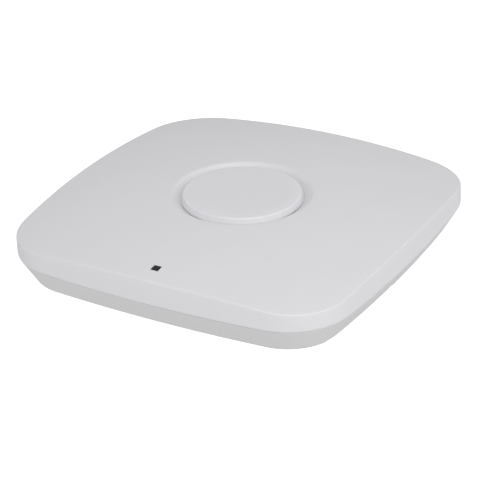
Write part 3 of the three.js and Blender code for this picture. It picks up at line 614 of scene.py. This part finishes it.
def make_lens():
    half = LENS_HALF - LENS_GAP
    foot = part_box("led_lens")[0].z / MM
    place = np.array((0.0, LENS_Y))
    low = rounded_square(half, LENS_CORNER) + place
    rings = [level(low, foot), level(low, (foot + CROWN_Z) / 2 - LENS_STEP)]
    for inset, drop in reversed(quarter_arc(4)):
        drawn_in = LENS_FILLET * inset
        xy = rounded_square(half - drawn_in, LENS_CORNER - 0.95 * drawn_in) + place
        rings.append(level(xy, crown(xy) - LENS_SINK - LENS_FILLET * drop))
    for size in (0.6, 0.25):
        xy = rounded_square(half * size, LENS_CORNER * size) + place
        rings.append(level(xy, crown(xy) - LENS_SINK))
    lens = new_piece("status_lens", *close_rings(rings), 50)
    settle(lens, "housing", "lens_black", "led_lens")


make_cover()
make_disc()
make_lens()

# ---------------------------------------------------------------- lower shell

FLOOR_Z = 2.2
SHELL_TOP = PARTING_Z - SEAM
LIP_INSET = WALL + 0.45
LIP_WALL = 1.6
LIP_HEIGHT = 2.4
LIP_CHAMFER = 0.3
REAR_RINGS = (15.0, 40.0, 65.0)
REAR_BAND = 8.0  # how far inside the rear face's edge its last ring lies
TAPER_SHARES = (0.2, 0.4, 0.6, 0.8)
ROUNDED_DEPTHS = (EDGE_REACH, 0.9, 0.65, 0.45)  # depths under the parting where the taper is rounded
SHELL_EDGE = ((SEAM + 0.04, 0.13), (SEAM, 0.27))  # (depth, inset) of the shell's broken upper edge
BAY_LOW = (59.4, -68.0)  # the socket bay's low and high corners in plan
BAY_HIGH = (92.0, -2.0)
BAY_TOP = 22.6
BAY_WALL = 1.6
BAY_FLOOR = 0.4
BAY_MOUTH = 3.0  # how far the bay's hollow runs on past its low X end
STRIP_X = (50.0, BAY_LOW[0])  # the rear face is open between the heat sink and the bay
STRIP_END = -1.5
RELIEF_X = 91.0
RELIEF_LOW = -80.0  # the relief's ends along Y
RELIEF_HIGH = -3.0
RELIEF_HEIGHT = 1.8
RELIEF_RAMP = (11.0, 0.3)  # (length, least height) of the run-out at its -Y end
# (distance from the end, height) of the curve at its +Y end
RELIEF_END = ((0.0, 5.8), (2.5, 4.1), (5.5, 2.8), (9.0, RELIEF_HEIGHT))
RELIEF_BACKING = {"length": 12.0, "low": 0.5, "inside": 1.2}
BEYOND = 120.0  # well outside the housing
SINK_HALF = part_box("heat_sink")[1].y / MM
SINK_CHAMFER = 130.0
SINK_LAP = 4.0
SINK_TOP = 4.5
SCREW_PLACE = 76.0
SCREW = {"head": 3.9, "head_depth": 3.2, "hole": 1.9}
BOSS = {"radius": 5.0, "base": 0.5, "top": 9.7}
# A hook's post: its gap to the heat sink, thickness and half width. Its lip: back, reach and height.
HOOK = {"gap": 0.4, "thick": 2.0, "half": 4.0, "back": 1.0, "reach": 1.8, "lip": 1.0}
# (quarter turns from the -X side, place along that side) of each hook
HOOK_PLACES = ((0, -30), (0, 30), (1, -24), (1, 24), (2, -28), (3, -24), (3, 24))
POST = {"reach": 18.0, "width": 4.4, "depth": 4.0, "rise": 2.8}
ANTENNA_SLOT = {"width": 1 + 2 * SEAM, "length": 60.0, "top": 40.0}
VENTS = {"start": 36.0, "pitch": 4.0, "count": 5, "y": -84.0, "width": 1.6, "length": 12.0}
LABEL_SEAT = (0.0, 86.2, 62.0, 9.0)
LABEL_DEPTH = 0.5
LOCK_SLOT = (-86.5, 40.0, 3.0, 7.0)
LOCK_SLOT_DEPTH = 4.0
UNDER = -1.0  # where a cut from the rear face starts
ROOT = 0.2  # how deep a post stands in the floor
APART = 0.1  # keeps the ends of two cuts out of one plane


def shell_rings():
    """Rings of the plain shell: out over the rear face, up the taper, over the lip and back inside."""
    lean = (PARTING[0] - SEAM - REAR[0]) / SHELL_TOP
    turn = math.pi / 2 - math.atan(lean)
    start = REAR_FILLET * (math.sin(turn) - lean * (1 - math.cos(turn)))
    rings = [level(circle(radius), 0.0) for radius in REAR_RINGS]
    rings.append(level(outline(REAR, REAR_BAND), 0.0))
    steps = 5
    for i in range(steps + 1):
        angle = turn * i / steps
        inset = start - REAR_FILLET * math.sin(angle)
        rings.append(level(outline(REAR, inset), REAR_FILLET * (1 - math.cos(angle))))
    taper = [(PARTING_Z - SHELL_TOP * share, 0.0) for share in TAPER_SHARES]
    rounded = [(depth, edge_inset(depth)) for depth in ROUNDED_DEPTHS]
    for depth, inset in (*taper, *rounded, *SHELL_EDGE):
        share = (PARTING_Z - depth) / SHELL_TOP
        xy = (1 - share) * outline(REAR, inset) + share * outline(PARTING, SEAM + inset)
        rings.append(level(xy, PARTING_Z - depth))
    lip_top = SHELL_TOP + LIP_HEIGHT
    rings.append(level(outline(PARTING, LIP_INSET), SHELL_TOP))
    rings.append(level(outline(PARTING, LIP_INSET), lip_top - LIP_CHAMFER))
    rings.append(level(outline(PARTING, LIP_INSET + LIP_CHAMFER), lip_top))
    inside = outline(PARTING, LIP_INSET + LIP_WALL)
    rings.append(level(inside, lip_top))
    rings.append(level(inside, SHELL_TOP))
    rings.append(level(outline(REAR, WALL), FLOOR_Z))
    rings.append(level(outline(REAR, REAR_BAND), FLOOR_Z))
    rings += [level(circle(radius), FLOOR_Z) for radius in reversed(REAR_RINGS)]
    return rings


def prism(points, z0, z1):
    """Vertices and faces of an upright prism."""
    count = len(points)
    vertices = [(x, y, z) for z in (z0, z1) for x, y in points]
    faces = [tuple(reversed(range(count))), tuple(range(count, 2 * count))]
    faces += [(i, (i + 1) % count, count + (i + 1) % count, count + i) for i in range(count)]
    return vertices, faces


def rectangle(x0, x1, y0, y1):
    return [(x0, y0), (x1, y0), (x1, y1), (x0, y1)]


def seat(x, y, width, depth):
    """A rectangle about a point in plan."""
    return rectangle(x - width / 2, x + width / 2, y - depth / 2, y + depth / 2)


def round_plan(x, y, radius, steps=48):
    angles = [2 * math.pi * i / steps for i in range(steps)]
    return [(x + radius * math.cos(a), y + radius * math.sin(a)) for a in angles]


def together(solids):
    """Several separate solids as one list of vertices and one of faces."""
    vertices, faces = [], []
    for more, polygons in solids:
        first = len(vertices)
        vertices += more
        faces += [tuple(first + i for i in polygon) for polygon in polygons]
    return vertices, faces


def shape_with(piece, operation, solids, careful=False):
    """Joins separate solids to a piece, or cuts them from it.

    Careful is slower and copes with faces that nearly touch.
    """
    tool = new_piece("tool", *together(solids))
    modifier = piece.modifiers.new("shape", "BOOLEAN")
    modifier.operation = operation
    modifier.solver = "EXACT"
    modifier.use_self = careful
    modifier.object = tool
    graph = bpy.context.evaluated_depsgraph_get()
    mesh = bpy.data.meshes.new_from_object(piece.evaluated_get(graph))
    piece.modifiers.clear()
    piece.data = mesh
    bpy.data.objects.remove(tool)


def sink_opening():
    """The opening that the heat sink closes: a square with cut corners, less the bay's corner."""
    half = SINK_HALF - SINK_LAP
    short = SINK_CHAMFER - 2 * SINK_LAP - half
    bay_x, bay_y = 57.5, 2.5
    return [
        (-short, -half),
        (bay_x, -half),
        (bay_x, bay_y),
        (half, bay_y),
        (half, short),
        (short, half),
        (-short, half),
        (-half, short),
        (-half, -short),
    ]


def corners(radius, z0, z1, steps=48):
    """An upright cylinder on each case screw's axis."""
    places = [(x, y) for x in (-SCREW_PLACE, SCREW_PLACE) for y in (-SCREW_PLACE, SCREW_PLACE)]
    return [prism(round_plan(x, y, radius, steps), z0, z1) for x, y in places]


def vents():
    """Cuts for two rows of slots through the rear face."""
    slots = []
    for side in (-1, 1):
        for i in range(VENTS["count"]):
            x = side * (VENTS["start"] + i * VENTS["pitch"])
            plan = seat(x, VENTS["y"], VENTS["width"], VENTS["length"])
            slots.append(prism(plan, UNDER, FLOOR_Z - UNDER))
    return slots


def turned_solid(solid, quarter_turns):
    """A solid turned about Z by quarter turns."""
    vertices, faces = solid
    for _ in range(quarter_turns):
        vertices = [(-y, x, z) for x, y, z in vertices]
    return vertices, faces


def flange_hooks():
    """Moulded hooks over the heat sink's edge, first the posts and then their lips."""
    posts, lips = [], []
    edge = -SINK_HALF - HOOK["gap"]
    foot = SINK_TOP + SEAM
    top = foot + HOOK["lip"]
    for turns, along in HOOK_PLACES:
        ends = (along - HOOK["half"], along + HOOK["half"])
        post = prism(rectangle(edge - HOOK["thick"], edge, *ends), FLOOR_Z - ROOT, top)
        lip = prism(rectangle(edge - HOOK["back"], edge + HOOK["reach"], *ends), foot, top)
        posts.append(turned_solid(post, turns))
        lips.append(turned_solid(lip, turns))
    return posts, lips


def antenna_posts():
    """Slotted posts that hold the antenna boards: the posts, and the slots cut from them."""
    posts, slots = [], []
    for turns in range(4):
        low, high = (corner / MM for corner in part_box(f"antenna_board_{turns + 1}"))
        middle = (low + high) / 2
        across = (middle.x, middle.y, -middle.x, -middle.y)[turns]
        along = (middle.y, -middle.x, -middle.y, middle.x)[turns]
        for y in (along - POST["reach"], along + POST["reach"]):
            plan = seat(across, y, POST["width"], POST["depth"])
            post = prism(plan, FLOOR_Z - ROOT, low.z + POST["rise"])
            posts.append(turned_solid(post, turns))
        plan = seat(across, along, ANTENNA_SLOT["width"], ANTENNA_SLOT["length"])
        slots.append(turned_solid(prism(plan, low.z - SEAM, ANTENNA_SLOT["top"]), turns))
    return posts, slots


def along_x(points, x0, x1):
    """Vertices and faces of a prism along X from (y, z) points."""
    vertices, faces = prism(points, x0, x1)
    return [(x, y, z) for y, z, x in vertices], faces


def relief_cut():
    """The relief in the shell's edge beside the bay, which rises in a curve at its +Y end."""
    end = [(RELIEF_HIGH - back, z) for back, z in RELIEF_END]
    run_out = [(RELIEF_LOW + RELIEF_RAMP[0], RELIEF_HEIGHT), (RELIEF_LOW, RELIEF_RAMP[1])]
    points = [(RELIEF_LOW, UNDER), (RELIEF_HIGH, UNDER), *end, *run_out]
    return along_x(points, RELIEF_X, BEYOND)


def relief_backing():
    """Extra material behind the high end of the relief, inside the taper."""
    lean = (PARTING[0] - REAR[0]) / SHELL_TOP
    low, high = RELIEF_BACKING["low"], RELIEF_END[0][1] + WALL
    y0, y1 = RELIEF_HIGH - RELIEF_BACKING["length"], RELIEF_HIGH + WALL
    start = REAR[0] - RELIEF_BACKING["inside"]
    near, far = start + lean * low, start + lean * high
    back = BAY_HIGH[0] + BAY_WALL / 2
    vertices = [(back, y, z) for z in (low, high) for y in (y0, y1)]
    vertices += [(x, y, z) for x, z in ((near, low), (far, high)) for y in (y0, y1)]
    faces = [(0, 1, 3, 2), (4, 6, 7, 5), (0, 4, 5, 1), (2, 3, 7, 6), (0, 2, 6, 4), (1, 5, 7, 3)]
    return vertices, faces


def make_shell():
    shell = new_piece("shell", *close_rings(shell_rings()))
    posts, lips = flange_hooks()
    holders, slots = antenna_posts()
    (x0, y0), (x1, y1) = BAY_LOW, BAY_HIGH
    wall = BAY_WALL
    bay = prism(rectangle(x0, x1 + wall, y0 - wall, y1 + wall), BAY_FLOOR, BAY_TOP + wall)
    shape_with(shell, "UNION", [bay], careful=True)
    shape_with(shell, "UNION", [relief_backing()], careful=True)
    bosses = corners(BOSS["radius"], BOSS["base"], BOSS["top"])
    shape_with(shell, "UNION", bosses + posts + holders)
    shape_with(shell, "UNION", lips)
    hollow = prism(rectangle(x0 - BAY_MOUTH, x1, y0, y1), UNDER, BAY_TOP)
    shape_with(shell, "DIFFERENCE", [hollow, *slots])
    through = FLOOR_Z + APART
    shape_with(shell, "DIFFERENCE", [prism(sink_opening(), UNDER, through), relief_cut()])
    strip = prism(rectangle(*STRIP_X, y0 - wall - 1, STRIP_END), UNDER + APART, through)
    shape_with(shell, "DIFFERENCE", [strip])
    shape_with(shell, "DIFFERENCE", corners(SCREW["head"], UNDER, SCREW["head_depth"]))
    holes = corners(SCREW["hole"], UNDER - APART, BOSS["top"] + 1, 32)
    shape_with(shell, "DIFFERENCE", holes + vents())
    label = prism(seat(*LABEL_SEAT), UNDER, LABEL_DEPTH)
    shape_with(shell, "DIFFERENCE", [label, prism(seat(*LOCK_SLOT), UNDER, LOCK_SLOT_DEPTH)])
    shade_smooth(shell.data, 30)
    settle(shell, "housing", "shell_white", "lower_shell")


make_shell()

# ---------------------------------------------------------------- socket details

SOCKET_FACE = 61.1
JACK_Y = (-59.2, -42.0)
JACK_MOUTH = {"half": 5.9, "z0": 12.0, "z1": 19.0, "key_half": 3.1, "key_top": 20.8, "depth": 13.5}
LINER = {"wall": 0.4, "back": 1.0, "gap": 0.02, "setback": 0.25}
CONTACT = {"count": 8, "pitch": 1.02, "width": 0.36, "thick": 0.26}
# (depth behind the face, height over the liner's floor) along a contact, and its height at the back
CONTACT_PATH = ((1.6, 0.3), (2.3, 0.55), (4.2, 1.35), (8.4, 3.3), (9.2, 3.4))
CONTACT_END = (0.8, 2.5)
JACK_LIGHT = {"y": 5.6, "z": 20.75, "width": 2.6, "height": 1.2, "sunk": 0.6, "proud": 0.12}
USB = {"wall": 0.7, "gap": 0.9, "tongue": 1.9}
USB_CONTACT = {"places": (-3.5, -1.2, 1.2, 3.5), "width": 1.0, "thick": 0.12}
# (depth behind the face, height over the tongue's lower face) along a contact
USB_PATH = ((3.2, -0.02), (4.4, -0.14), (6.0, -0.1), (9.5, -0.06))


def t_outline(y, inset):
    """The mouth of a network jack in Y and Z, drawn in by an inset."""
    m = JACK_MOUTH
    half, key = m["half"] - inset, m["key_half"] - inset
    z0, z1, top = m["z0"] + inset, m["z1"] - inset, m["key_top"] - inset
    left = [(y - key, top), (y - key, z1), (y - half, z1)]
    return [(y - half, z0), (y + half, z0), (y + half, z1), (y + key, z1), (y + key, top), *left]


def bent_strip(path, y, width, thick):
    """A strip of sheet that follows (x, z) points."""
    upper, lower = [], []
    for i, (x, z) in enumerate(path):
        before, after = path[max(i - 1, 0)], path[min(i + 1, len(path) - 1)]
        dx, dz = after[0] - before[0], after[1] - before[1]
        length = math.hypot(dx, dz)
        nx, nz = -dz / length * thick / 2, dx / length * thick / 2
        upper.append((x + nx, z + nz))
        lower.append((x - nx, z - nz))
    outline_xz = upper + lower[::-1]
    vertices, faces = [], []
    count = len(outline_xz)
    last = len(path) - 1
    for side in (-1, 1):
        vertices += [(x, y + side * width / 2, z) for x, z in outline_xz]
    for i in range(count):
        k = (i + 1) % count
        faces.append((i, k, count + k, count + i))
    for i in range(last):
        quad = (i, i + 1, count - 2 - i, count - 1 - i)
        faces.append(quad)
        faces.append(tuple(count + j for j in reversed(quad)))
    return vertices, faces


def round_edges(piece, width, angle=30):
    """Softens the edges of a piece that are sharper than an angle in degrees."""
    bevel = piece.modifiers.new("bevel", "BEVEL")
    bevel.width = width * MM
    bevel.segments = 3
    bevel.limit_method = "ANGLE"
    bevel.angle_limit = math.radians(angle)
    smooth = piece.modifiers.new("normals", "WEIGHTED_NORMAL")
    smooth.keep_sharp = True


def make_jack_liner(number, y):
    """The plastic inside of a network jack."""
    back = SOCKET_FACE - JACK_MOUTH["depth"]
    gap = LINER["gap"]
    body = along_x(t_outline(y, gap), back + gap, SOCKET_FACE - LINER["setback"])
    liner = new_piece(f"jack_liner_{number}", *body)
    mouth = along_x(t_outline(y, LINER["wall"]), back + LINER["back"], SOCKET_FACE + 1)
    shape_with(liner, "DIFFERENCE", [mouth])
    round_edges(liner, 0.08)
    settle(liner, "housing", "black_plastic")


def make_jack_contacts(number, y):
    """The eight spring contacts of a network jack."""
    low = JACK_MOUTH["z0"] + LINER["wall"]
    path = [(SOCKET_FACE - depth, low + height) for depth, height in CONTACT_PATH]
    path.append((SOCKET_FACE - JACK_MOUTH["depth"] + CONTACT_END[0], low + CONTACT_END[1]))
    first = y - CONTACT["pitch"] * (CONTACT["count"] - 1) / 2
    places = [first + i * CONTACT["pitch"] for i in range(CONTACT["count"])]
    strips = [bent_strip(path, place, CONTACT["width"], CONTACT["thick"]) for place in places]
    contacts = new_piece(f"jack_contacts_{number}", *together(strips))
    round_edges(contacts, 0.05)
    settle(contacts, "housing", "copper_sheet")


def make_jack_lights(number, y):
    """The two light windows in a network jack's face."""
    windows = []
    for side in (-1, 1):
        middle = y + side * JACK_LIGHT["y"]
        plan = seat(middle, JACK_LIGHT["z"], JACK_LIGHT["width"], JACK_LIGHT["height"])
        ends = (SOCKET_FACE - JACK_LIGHT["sunk"], SOCKET_FACE + JACK_LIGHT["proud"])
        windows.append(along_x(plan, *ends))
    lights = new_piece(f"jack_lights_{number}", *together(windows))
    round_edges(lights, 0.15)
    settle(lights, "housing", "led_white")


def make_usb_contacts():
    """Four spring contacts under the port's tongue."""
    low, high = (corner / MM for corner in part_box("usb_port"))
    y = (low.y + high.y) / 2
    under = high.z - USB["wall"] - USB["gap"] - USB["tongue"]
    path = [(SOCKET_FACE - depth, under + height) for depth, height in USB_PATH]
    strips = []
    for offset in USB_CONTACT["places"]:
        strips.append(bent_strip(path, y + offset, USB_CONTACT["width"], USB_CONTACT["thick"]))
    contacts = new_piece("usb_contacts", *together(strips))
    round_edges(contacts, 0.03)
    settle(contacts, "housing", "copper_sheet")


for number, y in enumerate(JACK_Y, 1):
    make_jack_liner(number, y)
    make_jack_contacts(number, y)
    make_jack_lights(number, y)
make_usb_contacts()

# ---------------------------------------------------------------- carried CAD nodes

SOFT_EDGE = 0.12  # width of a softened edge in millimetres
WIDER = {"heat_sink": 0.2, "usb_port_cap": 0.45, "poe_transformer": 0.3, "ceiling_bracket": 0.18}
SHARP = 28  # edges over this angle are softened


def soften(node, width):
    """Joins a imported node's split faces and rounds its edges, without touching its own mesh."""
    weld = node.modifiers.new("weld", "WELD")
    weld.merge_threshold = 0.001 * MM
    flat = node.modifiers.new("flat", "DECIMATE")
    flat.decimate_type = "DISSOLVE"
    flat.angle_limit = math.radians(0.5)
    round_edges(node, width, SHARP)


for name, node in frame["nodes"].items():
    slot = node.data.materials[0].name.split(".")[0]
    node.material_slots[0].link = "OBJECT"
    node.material_slots[0].material = LOOKS[slot]
    if not node.hide_render:
        soften(node, WIDER.get(name, SOFT_EDGE))

# ---------------------------------------------------------------- camera, floor and lights

AZIMUTH = 30.40
ELEVATION = 27.64
ROLL = -1.847
DISTANCE = 1.1064
SENSOR_MM = 36.0
LENS_MM = 145.78
SHIFT = (-0.00946, 0.01494)


def make_camera():
    azimuth, elevation, roll = (math.radians(a) for a in (AZIMUTH, ELEVATION, ROLL))
    flat = math.cos(elevation)
    back = Vector((math.sin(azimuth) * flat, -math.cos(azimuth) * flat, math.sin(elevation)))
    right = Vector((math.cos(azimuth), math.sin(azimuth), 0))
    up = back.cross(right)
    rolled_right = math.cos(roll) * right + math.sin(roll) * up
    rolled_up = math.cos(roll) * up - math.sin(roll) * right
    data = bpy.data.cameras.new("camera")
    data.sensor_width = SENSOR_MM
    data.lens = LENS_MM
    data.shift_x, data.shift_y = SHIFT
    data.clip_start = 0.01
    data.clip_end = 50
    camera = bpy.data.objects.new("camera", data)
    rotation = Matrix((rolled_right, rolled_up, back)).transposed()
    camera.matrix_world = Matrix.Translation(back * DISTANCE) @ rotation.to_4x4()
    bpy.context.scene.collection.objects.link(camera)
    bpy.context.scene.camera = camera


make_camera()


def add_area(name, place, target, size, power):
    """A round soft light that faces a target."""
    data = bpy.data.lights.new(name, "AREA")
    data.shape = "DISK"
    data.size = size
    data.energy = power
    light = bpy.data.objects.new(name, data)
    light.location = place
    light.rotation_euler = (Vector(target) - Vector(place)).to_track_quat("-Z", "Y").to_euler()
    bpy.context.scene.collection.objects.link(light)


HORIZON_BLUR = 0.3
FLOOR_REACH = 3.0
FLOOR_DROP = 0.0002


def make_world(low, high):
    """A soft white surround, with one strength below the horizon and another above it."""
    world = bpy.data.worlds.new("studio")
    bpy.context.scene.world = world
    world.use_nodes = True
    tree = world.node_tree
    coordinates = tree.nodes.new("ShaderNodeTexCoord")
    parts = tree.nodes.new("ShaderNodeSeparateXYZ")
    share = tree.nodes.new("ShaderNodeMapRange")
    share.interpolation_type = "SMOOTHSTEP"
    share.inputs["From Min"].default_value = -HORIZON_BLUR
    share.inputs["From Max"].default_value = HORIZON_BLUR
    share.inputs["To Min"].default_value = low
    share.inputs["To Max"].default_value = high
    tree.links.new(coordinates.outputs["Generated"], parts.inputs["Vector"])
    tree.links.new(parts.outputs["Z"], share.inputs["Value"])
    background = tree.nodes["Background"]
    background.inputs["Color"].default_value = (1.0, 1.0, 1.0, 1.0)
    tree.links.new(share.outputs["Result"], background.inputs["Strength"])


def make_floor():
    """A white floor that is seen from above only, so that the rear face can be looked at from below."""
    mesh = bpy.data.meshes.new("floor")
    plan = seat(0, 0, 2 * FLOOR_REACH, 2 * FLOOR_REACH)
    mesh.from_pydata([(x, y, 0) for x, y in plan], [], [(0, 1, 2, 3)])
    floor = bpy.data.objects.new("floor", mesh)
    floor.location.z = -FLOOR_DROP
    bpy.context.scene.collection.objects.link(floor)
    material = bpy.data.materials.new("floor_white")
    material.use_nodes = True
    tree = material.node_tree
    tree.nodes.clear()
    output = tree.nodes.new("ShaderNodeOutputMaterial")
    diffuse = tree.nodes.new("ShaderNodeBsdfDiffuse")
    diffuse.inputs["Color"].default_value = (0.5, 0.5, 0.5, 1)
    glow = tree.nodes.new("ShaderNodeEmission")
    glow.inputs["Strength"].default_value = 0.95
    both = tree.nodes.new("ShaderNodeAddShader")
    unseen = tree.nodes.new("ShaderNodeBsdfTransparent")
    geometry = tree.nodes.new("ShaderNodeNewGeometry")
    choose = tree.nodes.new("ShaderNodeMixShader")
    link = tree.links.new
    link(diffuse.outputs["BSDF"], both.inputs[0])
    link(glow.outputs["Emission"], both.inputs[1])
    link(geometry.outputs["Backfacing"], choose.inputs["Fac"])
    link(both.outputs["Shader"], choose.inputs[1])
    link(unseen.outputs["BSDF"], choose.inputs[2])
    link(choose.outputs["Shader"], output.inputs["Surface"])
    mesh.materials.append(material)
    floor.visible_shadow = False
    floor.visible_diffuse = False
    floor.visible_glossy = False


WORLD_LOW = 0.62
WORLD_HIGH = 0.39
LIGHT_TARGET = (0, 0, 0.02)
# Each light's place, the size of its disc and its power, in metres and watts.
LIGHTS = {
    "key": ((0.75, -0.75, 0.9), 0.9, 3.7),
    "left": ((-1.0, -0.8, 0.7), 0.9, 0.8),
    "front": ((0.1, -1.5, 0.5), 0.9, 3.4),
    "right": ((1.4, 0.1, 0.5), 0.9, 3.9),
    "top": ((0.1, 0.1, 1.5), 1.0, 3.1),
    "back": ((-0.7, 1.2, 0.9), 0.9, 0.6),
}

make_world(WORLD_LOW, WORLD_HIGH)
make_floor()
for name, (where, size, power) in LIGHTS.items():
    add_area(name, where, LIGHT_TARGET, size, power)
bpy.context.scene.view_settings.view_transform = "Standard"
